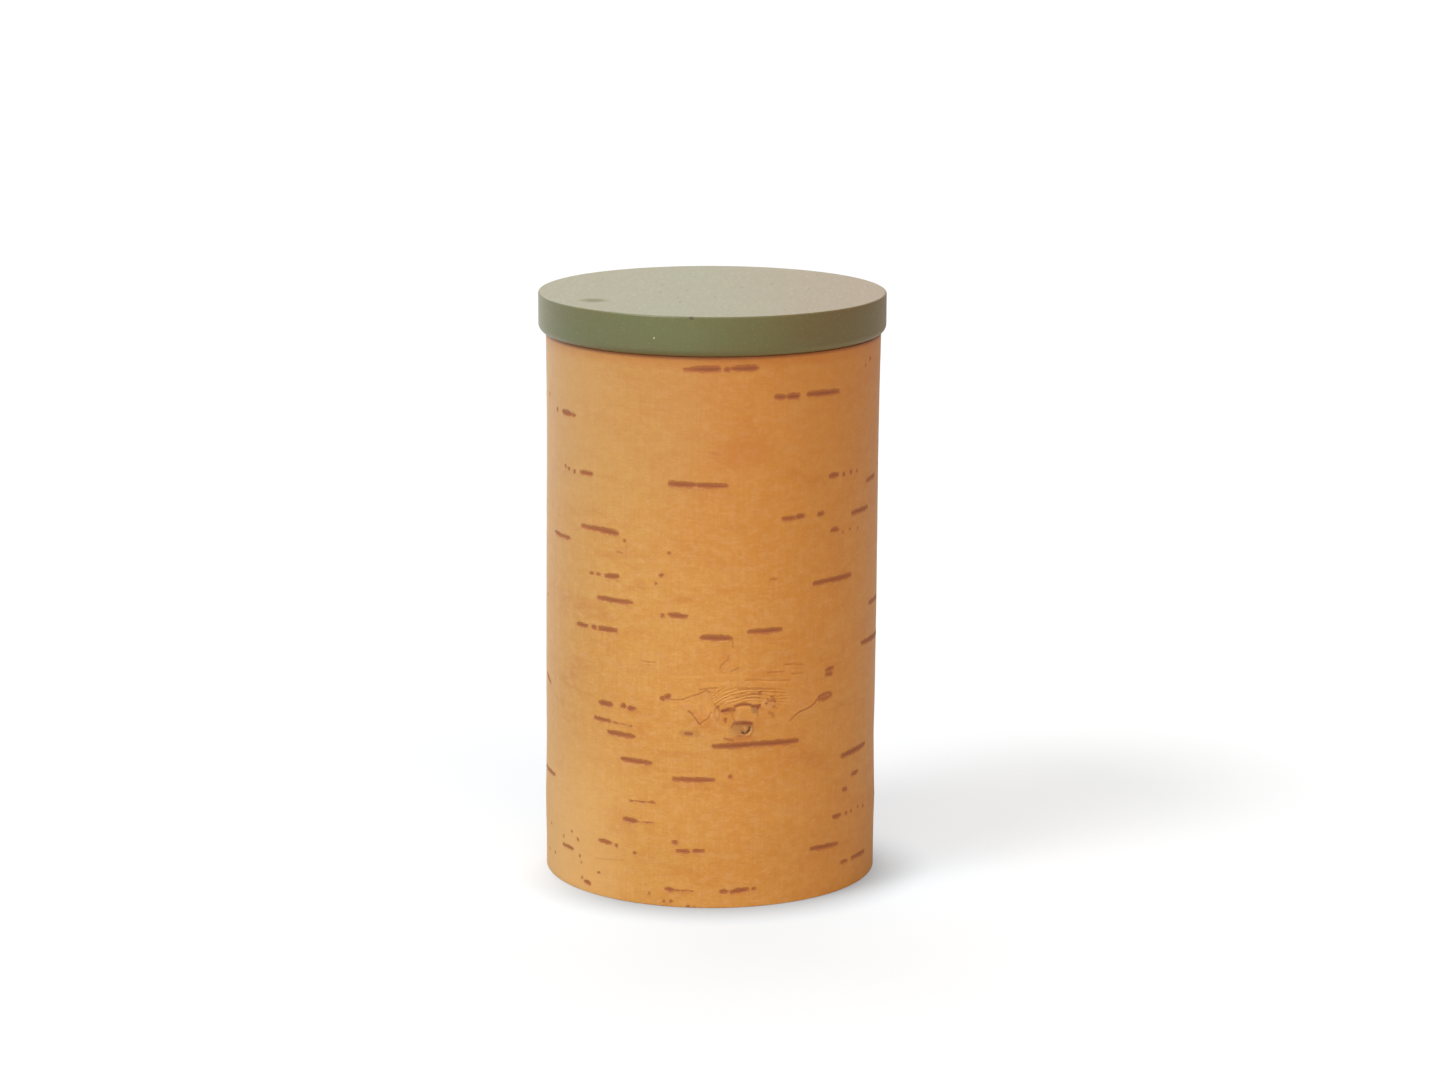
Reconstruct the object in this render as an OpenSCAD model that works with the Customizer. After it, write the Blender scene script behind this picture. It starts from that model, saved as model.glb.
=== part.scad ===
// Tea caddy of birch bark, with a wooden base and a painted wooden lid.
// Units are millimetres. +Z is up, the caddy stands on Z = 0 with its axis on Z, and -Y is its front.
// The wall is two layers of bark: an inner sleeve and an outer jacket, a sheet wrapped round the
// sleeve and closed with a glued half-lap seam at the back (+Y). The base is a disc glued into the
// sleeve. The lid is a painted disc with a bare plug let into its underside, and lifts off along +Z.

/* [Bark wall] */
// Outer diameter of the bark jacket
caddy_d = 101; // [80:1:140]
// Height of the bark wall, from the table to the rim
wall_h = 166.5; // [100:0.5:240]
// Thickness of the outer bark jacket
jacket_t = 1.6; // [1.2:0.1:2.4]
// Thickness of the inner bark sleeve
sleeve_t = 1.6; // [1.2:0.1:2.4]
// Glue line between the jacket and the sleeve
wall_glue = 0.05; // [0.03:0.01:0.15]
// Rounding of the cut edges of the bark
edge_r = 0.3; // [0.1:0.05:0.5]

/* [Seam] */
// Length of the jacket's half-lap seam, measured round the wall
lap_len = 9; // [4:0.5:16]
// Glue line in the seam
lap_glue = 0.1; // [0.05:0.01:0.3]

/* [Base] */
// Thickness of the base disc
base_t = 10; // [6:0.5:16]
// Height of the base disc's underside above the table
base_recess = 1; // [0.5:0.1:4]
// Chamfer on both edges of the base disc
base_chamfer = 0.8; // [0.3:0.1:2]
// Glue line between the base disc and the sleeve
base_glue = 0.05; // [0.03:0.01:0.15]

/* [Lid disc] */
// Overhang of the lid past the jacket, all round
lid_overhang = 2; // [0.5:0.1:6]
// Thickness of the lid disc
lid_t = 12; // [8:0.5:20]
// Rounding of the lid's lower outer edge
lid_low_r = 2.5; // [1:0.1:3.5]
// Rounding of the lid's upper edge
lid_top_r = 0.6; // [0.2:0.1:2]

/* [Lid plug] */
// Depth that the plug reaches into the sleeve, below the rim
plug_depth = 13; // [6:0.5:24]
// Depth of the seat in the lid disc's underside that holds the plug
plug_seat = 3; // [1:0.5:5]
// Radial running clearance between the plug and the sleeve
plug_clearance = 0.2; // [0.1:0.05:0.5]
// Glue line round the plug in its seat
plug_glue = 0.05; // [0.03:0.01:0.15]
// Lead-in chamfer on the plug's lower edge
plug_chamfer = 1.2; // [0.5:0.1:2.5]

/* [Hidden] */
$fn = 128;

jacket_r = caddy_d / 2;              // outside of the jacket
jacket_in_r = jacket_r - jacket_t;   // inside of the jacket
sleeve_r = jacket_in_r - wall_glue;  // outside of the sleeve
bore_r = sleeve_r - sleeve_t;        // inside of the sleeve: the tea chamber
base_r = bore_r - base_glue;
lid_r = jacket_r + lid_overhang;
plug_r = bore_r - plug_clearance;
seat_r = plug_r + plug_glue;         // pocket in the lid disc that centres the plug
lid_z = wall_h;                      // the lid disc rests on the rim
cut_past = 1;                        // how far a cutter runs past the face that it cuts

// Half section of a tube's wall with eased inner and outer edges at both ends
module wall_section(r_in, r_out, height, ease) {
    translate([r_in, ease])
        square([r_out - r_in, height - 2 * ease]);
    translate([r_in + ease, 0])
        square([r_out - r_in - 2 * ease, height]);
    for (r = [r_in + ease, r_out - ease], z = [ease, height - ease])
        translate([r, z])
            circle(r = ease, $fn = 32);
}

// Bark tube standing on Z = 0
module bark_tube(r_in, r_out) {
    rotate_extrude()
        wall_section(r_in, r_out, wall_h, edge_r);
}

// Upright slot through part of the jacket's thickness, at an angle from the back
module lap_butt(angle, r_from, r_to) {
    rotate([0, 0, 90 + angle])
        translate([r_from, -lap_glue / 2, -cut_past])
            cube([r_to - r_from, lap_glue, wall_h + 2 * cut_past]);
}

// Slots that part the sheet's two ends, each skived to half its thickness over the lap
module lap_cut() {
    mid_r = (jacket_r + jacket_in_r) / 2;
    half_angle = lap_len / mid_r * 90 / PI;
    rotate([0, 0, 90 - half_angle])
        rotate_extrude(angle = 2 * half_angle)
            translate([mid_r - lap_glue / 2, -cut_past])
                square([lap_glue, wall_h + 2 * cut_past]);
    lap_butt(half_angle, mid_r - lap_glue / 2, jacket_r + cut_past);
    lap_butt(-half_angle, jacket_in_r - cut_past, mid_r + lap_glue / 2);
}

// Outer sheet of bark, golden inner side out
module bark_jacket() {
    color("#d6964b")
        difference() {
            bark_tube(jacket_in_r, jacket_r);
            lap_cut();
        }
}

// Inner sleeve, taken from the trunk in one piece, so it has no seam
module bark_sleeve() {
    color("#c98b4a")
        bark_tube(bore_r, sleeve_r);
}

// Wooden base, glued into the sleeve's lower end
module base_disc() {
    color("#dcb98a")
        translate([0, 0, base_recess]) {
            cylinder(r1 = base_r - base_chamfer, r2 = base_r, h = base_chamfer);
            translate([0, 0, base_chamfer])
                cylinder(r = base_r, h = base_t - 2 * base_chamfer);
            translate([0, 0, base_t - base_chamfer])
                cylinder(r1 = base_r, r2 = base_r - base_chamfer, h = base_chamfer);
        }
}

// Half section of the lid disc, before its pocket is cut
module lid_section() {
    translate([0, lid_low_r])
        square([lid_r, lid_t - lid_low_r - lid_top_r]);
    square([lid_r - lid_low_r, lid_t]);
    translate([0, lid_low_r])
        square([lid_r - lid_top_r, lid_t - lid_low_r]);
    translate([lid_r - lid_low_r, lid_low_r])
        circle(r = lid_low_r, $fn = 64);
    translate([lid_r - lid_top_r, lid_t - lid_top_r])
        circle(r = lid_top_r, $fn = 32);
}

// Painted lid disc, with the pocket for the plug in its underside
module lid_disc() {
    color("#7c7f5e")
        translate([0, 0, lid_z])
            difference() {
                rotate_extrude()
                    lid_section();
                translate([0, 0, -cut_past])
                    cylinder(r = seat_r, h = plug_seat + cut_past);
            }
}

// Bare wooden plug that closes the sleeve's mouth
module lid_plug() {
    color("#e2c79b")
        translate([0, 0, lid_z - plug_depth]) {
            cylinder(r1 = plug_r - plug_chamfer, r2 = plug_r, h = plug_chamfer);
            translate([0, 0, plug_chamfer])
                cylinder(r = plug_r, h = plug_depth + plug_seat - plug_chamfer);
        }
}

bark_jacket();
bark_sleeve();
base_disc();
lid_disc();
lid_plug();
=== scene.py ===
import math
import random

import bmesh
import bpy
import numpy as np
from mathutils import Matrix, Vector


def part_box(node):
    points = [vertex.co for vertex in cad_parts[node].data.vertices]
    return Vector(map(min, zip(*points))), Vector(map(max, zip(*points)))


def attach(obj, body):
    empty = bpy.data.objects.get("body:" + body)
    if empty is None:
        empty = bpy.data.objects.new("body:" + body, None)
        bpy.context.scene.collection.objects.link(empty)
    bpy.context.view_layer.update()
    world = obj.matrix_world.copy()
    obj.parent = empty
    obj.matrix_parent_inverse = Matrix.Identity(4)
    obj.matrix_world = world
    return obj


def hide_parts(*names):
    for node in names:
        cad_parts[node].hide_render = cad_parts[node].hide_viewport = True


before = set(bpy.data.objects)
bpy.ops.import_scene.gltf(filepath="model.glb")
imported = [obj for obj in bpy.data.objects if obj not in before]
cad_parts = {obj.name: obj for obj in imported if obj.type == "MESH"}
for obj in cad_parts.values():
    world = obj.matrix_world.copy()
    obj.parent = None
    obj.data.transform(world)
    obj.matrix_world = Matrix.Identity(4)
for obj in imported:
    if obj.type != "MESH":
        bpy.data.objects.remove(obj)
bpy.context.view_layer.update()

# A tea caddy of birch bark with a painted wooden lid. Metres, +Z up, the front looks along -Y.
mm = 0.001


def sayStage(words):
    print("stage:", words)


def deselectAll():
    for thing in bpy.context.selected_objects:
        thing.select_set(False)


def startEdit(piece, kind="FACE"):
    deselectAll()
    piece.select_set(True)
    bpy.context.view_layer.objects.active = piece
    bpy.ops.object.mode_set(mode="EDIT")
    bpy.ops.mesh.select_mode(type=kind)
    bpy.ops.mesh.select_all(action="DESELECT")


def endEdit():
    bpy.ops.object.mode_set(mode="OBJECT")


def pickParts(piece, parts, test):
    mesh = bmesh.from_edit_mesh(piece.data)
    for part in getattr(mesh, parts):
        part.select_set(bool(test(part)))
    mesh.select_flush_mode()
    bmesh.update_edit_mesh(piece.data)


def settle(piece, name):
    # the place goes into the mesh, so that the object itself sits at the origin
    piece.name = name
    piece.data.name = name
    deselectAll()
    piece.select_set(True)
    bpy.context.view_layer.objects.active = piece
    bpy.ops.object.transform_apply(location=True, rotation=True, scale=True)
    return piece


def smoothPiece(piece, degrees=35):
    deselectAll()
    piece.select_set(True)
    bpy.context.view_layer.objects.active = piece
    bpy.ops.object.shade_smooth_by_angle(angle=math.radians(degrees))


def wallRadii(node):
    # nearest and furthest distance of a node's wall from the caddy's axis
    reach = [math.hypot(corner.co.x, corner.co.y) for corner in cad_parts[node].data.vertices]
    return min(reach), max(reach)


def readPlaces(piece):
    places = np.empty(len(piece.data.vertices) * 3)
    piece.data.vertices.foreach_get("co", places)
    return places.reshape(-1, 3)


def writePlaces(piece, places):
    piece.data.vertices.foreach_set("co", places.astype(np.float32).ravel())
    piece.data.update()


latticeSize = 256


def smoothStep(share):
    return share * share * (3 - 2 * share)


def bell(value, middle, wide):
    return np.exp(-((value - middle) / wide) ** 2)


def softNoise(across, up, seed):
    # smooth random hills from 0 to 1, one lattice cell per unit
    lattice = np.random.default_rng(seed).random((latticeSize, latticeSize))
    column, row = np.floor(across).astype(int), np.floor(up).astype(int)
    x, y = smoothStep(across - column), smoothStep(up - row)
    column, row = column % latticeSize, row % latticeSize
    beside, above = (column + 1) % latticeSize, (row + 1) % latticeSize
    left = lattice[column, row] * (1 - y) + lattice[column, above] * y
    right = lattice[beside, row] * (1 - y) + lattice[beside, above] * y
    return left * (1 - x) + right * x


cameraLook = {
    "place": (3.3 * mm, -1210.1 * mm, 358.5 * mm),
    "downTilt": 0.2097,      # radians below level
    "roll": 0.0036,
    "lens": 100.96,          # on a sensor 36 wide
    "sensor": 36,
    "frameWide": 1445,
    "frameHigh": 1084,
}


def cameraAxes(look):
    forward = Vector((0, math.cos(look["downTilt"]), -math.sin(look["downTilt"])))
    level = Vector((1, 0, 0))
    upright = level.cross(forward)
    right = level * math.cos(look["roll"]) + upright * math.sin(look["roll"])
    return right, right.cross(forward), forward


def addCamera(look):
    right, upward, forward = cameraAxes(look)
    turn = Matrix((right, upward, -forward)).transposed()
    camera = bpy.data.objects.new("camera", bpy.data.cameras.new("camera"))
    bpy.context.scene.collection.objects.link(camera)
    camera.matrix_world = Matrix.Translation(look["place"]) @ turn.to_4x4()
    camera.data.lens = look["lens"]
    camera.data.sensor_width = look["sensor"]
    camera.data.clip_start = 0.01
    camera.data.clip_end = 50
    bpy.context.scene.camera = camera


def frameRay(x, y, look=cameraLook):
    # direction through a spot of the frame, counted in its pixels from the top left corner
    right, upward, forward = cameraAxes(look)
    focal = look["lens"] / look["sensor"] * look["frameWide"]
    aside, above = x - look["frameWide"] / 2, look["frameHigh"] / 2 - y
    return forward + right * aside / focal + upward * above / focal


def spotOnWall(x, y, radius):
    # (distance round the wall from the front, height), both in millimetres
    eye, ray = Vector(cameraLook["place"]), frameRay(x, y)
    a = ray.x ** 2 + ray.y ** 2
    b = eye.x * ray.x + eye.y * ray.y
    c = eye.x ** 2 + eye.y ** 2 - radius ** 2
    inside = max(b * b - a * c, 0)
    spot = eye + ray * (-b - math.sqrt(inside)) / a
    return math.atan2(spot.x, -spot.y) * radius / mm, spot.z / mm


addCamera(cameraLook)
sayStage("camera")


def colour(red, green, blue):
    # from display values, 0 to 255
    share = [v / 255 for v in (red, green, blue)]
    return tuple(s / 12.92 if s <= 0.04045 else ((s + 0.055) / 1.055) ** 2.4 for s in share) + (1,)


def newMaterial(name):
    material = bpy.data.materials.new(name)
    material.use_nodes = True
    return material, material.node_tree, material.node_tree.nodes["Principled BSDF"]


def feed(tree, socket, value):
    if isinstance(value, bpy.types.NodeSocket):
        tree.links.new(value, socket)
    else:
        socket.default_value = value


def maths(tree, how, first, second=0.0, third=0.0):
    node = tree.nodes.new("ShaderNodeMath")
    node.operation = how
    for socket, value in zip(node.inputs, (first, second, third)):
        feed(tree, socket, value)
    return node.outputs[0]


def times(tree, first, second):
    return maths(tree, "MULTIPLY", first, second)


def plus(tree, first, second):
    return maths(tree, "ADD", first, second)


def minus(tree, first, second):
    return maths(tree, "SUBTRACT", first, second)


def lengthOf(tree, x, y):
    return maths(tree, "SQRT", plus(tree, times(tree, x, x), times(tree, y, y)))


def splitPlace(tree, vector):
    node = tree.nodes.new("ShaderNodeSeparateXYZ")
    feed(tree, node.inputs[0], vector)
    return node.outputs["X"], node.outputs["Y"], node.outputs["Z"]


def stretch(tree, vector, size, place=(0, 0, 0)):
    node = tree.nodes.new("ShaderNodeMapping")
    feed(tree, node.inputs["Vector"], vector)
    node.inputs["Scale"].default_value = size
    node.inputs["Location"].default_value = place
    return node.outputs[0]


def grainNoise(tree, vector, size, shift=(0, 0, 0), detail=3.0, rough=0.55, swirl=0.0):
    # size is the noise's cells per unit of the vector, along each axis
    node = tree.nodes.new("ShaderNodeTexNoise")
    feed(tree, node.inputs["Vector"], stretch(tree, vector, size, shift))
    node.inputs["Scale"].default_value = 1.0
    node.inputs["Detail"].default_value = detail
    node.inputs["Roughness"].default_value = rough
    node.inputs["Distortion"].default_value = swirl
    return node.outputs["Fac"]


def ease(tree, value, start, end, low=0.0, high=1.0):
    # smooth step from low at start to high at end
    node = tree.nodes.new("ShaderNodeMapRange")
    node.interpolation_type = "SMOOTHSTEP"
    feed(tree, node.inputs["Value"], value)
    for name, number in (("From Min", start), ("From Max", end), ("To Min", low), ("To Max", high)):
        node.inputs[name].default_value = number
    return node.outputs["Result"]


def blendColours(tree, share, first, second, how="MIX"):
    node = tree.nodes.new("ShaderNodeMix")
    node.data_type = "RGBA"
    node.blend_type = how
    feed(tree, node.inputs["Factor"], share)
    feed(tree, node.inputs["A"], first)
    feed(tree, node.inputs["B"], second)
    return node.outputs["Result"]


def layTints(tree, base, look, tints):
    # lays one colour after another over the base, each by its own share
    for share, name in tints:
        base = blendColours(tree, share, base, look[name])
    return base


def attributeOf(tree, name):
    node = tree.nodes.new("ShaderNodeAttribute")
    node.attribute_name = name
    return node.outputs["Fac"]


def bump(tree, height, depth, strength=1.0, below=None):
    node = tree.nodes.new("ShaderNodeBump")
    feed(tree, node.inputs["Height"], height)
    node.inputs["Distance"].default_value = depth * mm
    node.inputs["Strength"].default_value = strength
    if below is not None:
        feed(tree, node.inputs["Normal"], below)
    return node.outputs["Normal"]


def objectPlace(tree):
    # the place on the piece, in millimetres
    node = tree.nodes.new("ShaderNodeTexCoord")
    return stretch(tree, node.outputs["Object"], (1000, 1000, 1000))


def finishShader(tree, shader, base, rough, relief, specular):
    feed(tree, shader.inputs["Base Color"], base)
    feed(tree, shader.inputs["Roughness"], rough)
    feed(tree, shader.inputs["Normal"], relief)
    shader.inputs["Specular IOR Level"].default_value = specular


barkLook = {
    "golden": colour(213, 168, 88),
    "orange": colour(210, 148, 63),
    "rust": colour(188, 112, 44),
    "pale": colour(222, 178, 120),
    "paleStreakAndHighlight": colour(232, 172, 92),
    "dusty": colour(210, 154, 112),
    "lenticel": colour(172, 104, 58),
    "coreAndRimShade": colour(130, 70, 42),
    "brown": colour(138, 70, 38),
    "dull": colour(180, 148, 100),
    "light": colour(238, 194, 128),
    "crease": colour(170, 100, 44),
    "knotGrey": colour(148, 102, 76),
    "pit": colour(62, 36, 22),
    "roughness": 0.34,
    "raggedEdge": 0.9,       # mm that a lenticel's edge wanders
    # noise by name: cells per mm round, round and up, shift, detail, roughness and swirl
    "grain": {
        "tone": ((0.022, 0.022, 0.03), (0, 0, 0), 2, 0.55, 0.4),
        "blotch": ((0.05, 0.05, 0.13), (9, 2, 5), 4, 0.55, 0.6),
        "mottle": ((0.26, 0.26, 0.34), (7, 3, 1), 3, 0.6, 0.5),
        "fine": ((1.1, 1.1, 1.5), (4, 1, 6), 4, 0.7),
        "upright": ((1.3, 1.3, 0.07), (0, 9, 0), 3, 0.6),
        "fibre": ((0.22, 0.22, 3.2), (3, 5, 0), 4, 0.65),
        "dust": ((0.45, 0.45, 2.4), (2, 8, 4), 4, 0.7, 0.8),
        "haze": ((0.27, 0.27, 0.46), (5, 2, 9), 4, 0.7, 0.3),
        "ragged": ((0.55, 0.55, 1.3), (0, 0, 0), 2, 0.6),
        "frayed": ((1.6, 1.6, 5.0), (1, 7, 3), 3, 0.7),
    },
    # laid over the ground: the noise, its value at the start and the end, the share at both, the colour
    "tints": [
        ("blotch", 0.50, 0.74, 0, 0.34, "rust"),
        ("blotch", 0.48, 0.26, 0, 0.20, "pale"),
        ("mottle", 0.32, 0.68, 0, 0.18, "rust"),
        ("haze", 0.44, 0.66, 0, 0.40, "pale"),
        ("fine", 0.30, 0.70, 0.15, 0, "rust"),
        ("fine", 0.50, 0.74, 0, 0.25, "pale"),
        ("upright", 0.30, 0.70, 0.11, 0, "crease"),
        ("fibre", 0.28, 0.66, 0.12, 0, "crease"),
        ("dust", 0.60, 0.74, 0, 0.30, "pale"),
    ],
    # the grain's relief: the noise, its depth in mm and its strength
    "relief": [("fibre", 0.08, 0.8), ("mottle", 0.22, 0.5), ("fine", 0.05, 0.6), ("upright", 0.05, 0.6)],
}


def barkGround(look, vector, tree, sideLight):
    # the plain bark: vector is the place in mm, x and y along the sheet and z up, the last argument runs
    # from -1 on the left side to 1 on the right; the spread from golden on the left to orange on the right
    # along it is painted light, the key's sheen on the left and a warm fill on the right
    noise = {name: grainNoise(tree, vector, *recipe) for name, recipe in look["grain"].items()}
    share = maths(tree, "MULTIPLY_ADD", sideLight, 0.45, 0.5)
    share = plus(tree, share, times(tree, minus(tree, noise["tone"], 0.5), 1.2))
    base = blendColours(tree, ease(tree, share, 0.0, 1.0), look["golden"], look["orange"])
    for name, start, end, low, high, tint in look["tints"]:
        share = ease(tree, noise[name], start, end, low, high)
        # the pale haze is the bark's own mottling, but its fading to the right is painted sheen on the lit
        # left side
        if name == "haze":               # it fades to the right
            share = times(tree, share, ease(tree, sideLight, 0.0, 0.8, 1.0, 0.5))
        base = blendColours(tree, share, base, look[tint])
    relief = None
    for name, depth, strength in look["relief"]:
        relief = bump(tree, noise[name], depth, strength, relief)
    return base, noise, relief


def barkMaterial(look, vector, tree, shader, sideLight):
    base, noise, relief = barkGround(look, vector, tree, sideLight)
    ragged, frayed = noise["ragged"], noise["frayed"]
    height = splitPlace(tree, vector)[2]
    rim = jacketHigh.z / mm
    upper = ease(tree, height, rim * 0.5, rim * 0.95, 0, 0.30)
    lower = ease(tree, height, rim * 0.42, rim * 0.05, 0, 0.65)
    base = layTints(tree, base, look, (
        (times(tree, upper, ease(tree, sideLight, 0.3, -0.3)), "dull"),
        (times(tree, upper, ease(tree, sideLight, -0.8, 0.3)), "rust"),
        # painted sheen: paler high on the left side
        (times(tree, upper, ease(tree, sideLight, -0.4, -0.9)), "pale"),
        # painted light: the light colour low on the left side, where the bark should catch more light
        (times(tree, lower, ease(tree, sideLight, -0.35, -0.9)), "light"),
        # a darker, more orange band and a dark line just under the lid: painted shade of the lid's overhang
        # and of the gap beneath it; the band is partly the bark's own tone, and the line uses the lenticels'
        # core colour
        (ease(tree, height, rim - 5.0, rim - 1.0, 0, 0.35), "rust"),
        (ease(tree, height, rim - 1.3, rim - 0.2, 0, 0.75), "coreAndRimShade"),
    ))

    # marks: each field is the distance in mm to the edge of the nearest mark, negative inside
    lenticel = attributeOf(tree, "lenticel")
    coarse = times(tree, minus(tree, ragged, 0.5), look["raggedEdge"] * 1.5)
    small = times(tree, minus(tree, frayed, 0.5), look["raggedEdge"] * 1.1)
    wander = plus(tree, coarse, small)
    marks = plus(tree, lenticel, wander)
    inMark = ease(tree, marks, 0.35, -0.02)
    deep = maths(tree, "MULTIPLY_ADD", frayed, -1.6, plus(tree, lenticel, 0.92))
    inCore = ease(tree, deep, 0.05, -0.45, 0, 0.85)
    crease = plus(tree, attributeOf(tree, "crease"), times(tree, wander, 0.3))
    crease = times(tree, ease(tree, crease, 0.36, -0.12, 0, 0.62), ease(tree, ragged, 0.36, 0.56, 0.35, 1.0))
    pit = plus(tree, attributeOf(tree, "pit"), times(tree, wander, 0.4))

    # the fine folds over the knot: fold counts them, foldShare says how strongly they show
    count = plus(tree, attributeOf(tree, "fold"), times(tree, ragged, 1.6))
    wave = maths(tree, "SINE", times(tree, count, 2 * math.pi))
    foldShare = times(tree, attributeOf(tree, "foldShare"), ease(tree, frayed, 0.30, 0.60, 0.2, 1.0))
    broken = ease(tree, frayed, 0.28, 0.62, 1.0, 0.7)
    base = layTints(tree, base, look, (
        (ease(tree, attributeOf(tree, "stain"), 0.0, 1.0, 0, 0.55), "rust"),
        (ease(tree, marks, 0.9, 0.0, 0, 0.20), "crease"),
        # over the folds, the troughs get painted shade in the crease colour and the crests a painted
        # highlight
        (times(tree, ease(tree, wave, -0.4, -1.0, 0, 0.68), foldShare), "crease"),
        (times(tree, ease(tree, wave, 0.0, 1.0, 0, 0.60), foldShare), "paleStreakAndHighlight"),
        (ease(tree, attributeOf(tree, "dusty"), 0.1, 1.0, 0, 0.7), "dusty"),
        (times(tree, attributeOf(tree, "grey"), broken), "knotGrey"),
        (crease, "crease"),
        # pale streaks, partly the bark's own paler lines and partly painted highlight on fold crests and the
        # knot's rim
        (times(tree, attributeOf(tree, "paleStreakAndHighlight"), broken), "paleStreakAndHighlight"),
        (ease(tree, times(tree, attributeOf(tree, "brown"), broken), 0.0, 0.8), "brown"),
    ))
    markColour = blendColours(tree, inCore, look["lenticel"], look["coreAndRimShade"])
    patchy = times(tree, inMark, ease(tree, frayed, 0.35, 0.7, 0.97, 0.72))
    base = blendColours(tree, patchy, base, markColour)
    base = blendColours(tree, ease(tree, pit, 0.22, -0.18, 0, 0.9), base, look["pit"])

    rough = plus(tree, look["roughness"], times(tree, noise["fibre"], 0.14))
    rough = plus(tree, rough, times(tree, inMark, 0.18))
    relief = bump(tree, minus(tree, 1, inMark), 0.10, 0.8, relief)
    relief = bump(tree, minus(tree, 1, crease), 0.12, 0.9, relief)
    relief = bump(tree, times(tree, wave, foldShare), 0.09, 0.9, relief)
    finishShader(tree, shader, base, rough, relief, 0.5)


def jacketMaterial():
    material, tree, shader = newMaterial("goldenBark")
    node = tree.nodes.new("ShaderNodeUVMap")
    node.uv_map = "sheet"
    # the sheet's own coordinates, so that the pattern doesn't match across the seam
    across, up, _ = splitPlace(tree, stretch(tree, node.outputs["UV"], (jacket["round"], jacket["high"], 1)))
    join = tree.nodes.new("ShaderNodeCombineXYZ")
    feed(tree, join.inputs["X"], across)
    feed(tree, join.inputs["Z"], up)
    # -1 on the left side, 1 on the right: the bark's tints follow it as painted light, paler and golden
    # toward the key, more orange toward the warm fill
    sideLight = maths(tree, "SINE", times(tree, across, 2 * math.pi / jacket["round"]))
    barkMaterial(barkLook, join.outputs[0], tree, shader, sideLight)
    return material


def sleeveMaterial():
    material, tree, shader = newMaterial("innerBark")
    barkMaterial(barkLook, objectPlace(tree), tree, shader, -0.2)
    return material


edgeLook = {
    "light": colour(206, 160, 108),
    "dark": colour(132, 84, 52),
    "layer": 0.21,           # mm from one year's layer to the next
}


def cutEdgeMaterial(look=edgeLook):
    material, tree, shader = newMaterial("barkCutEdge")
    place = objectPlace(tree)
    x, y, _ = splitPlace(tree, place)
    wobble = grainNoise(tree, place, (0.12, 0.12, 0.12))
    crumbs = grainNoise(tree, place, (1.3, 1.3, 1.3), detail=4, rough=0.7)
    turns = times(tree, lengthOf(tree, x, y), 2 * math.pi / look["layer"])
    turns = plus(tree, turns, times(tree, wobble, 14))
    layers = ease(tree, plus(tree, maths(tree, "SINE", turns), crumbs), -0.4, 1.3)
    base = blendColours(tree, layers, look["dark"], look["light"])
    base = blendColours(tree, ease(tree, crumbs, 0.55, 0.8, 0, 0.5), base, look["dark"])
    relief = bump(tree, crumbs, 0.12, 0.7, bump(tree, layers, 0.06, 0.8))
    finishShader(tree, shader, base, 0.8, relief, 0.3)
    return material


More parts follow.
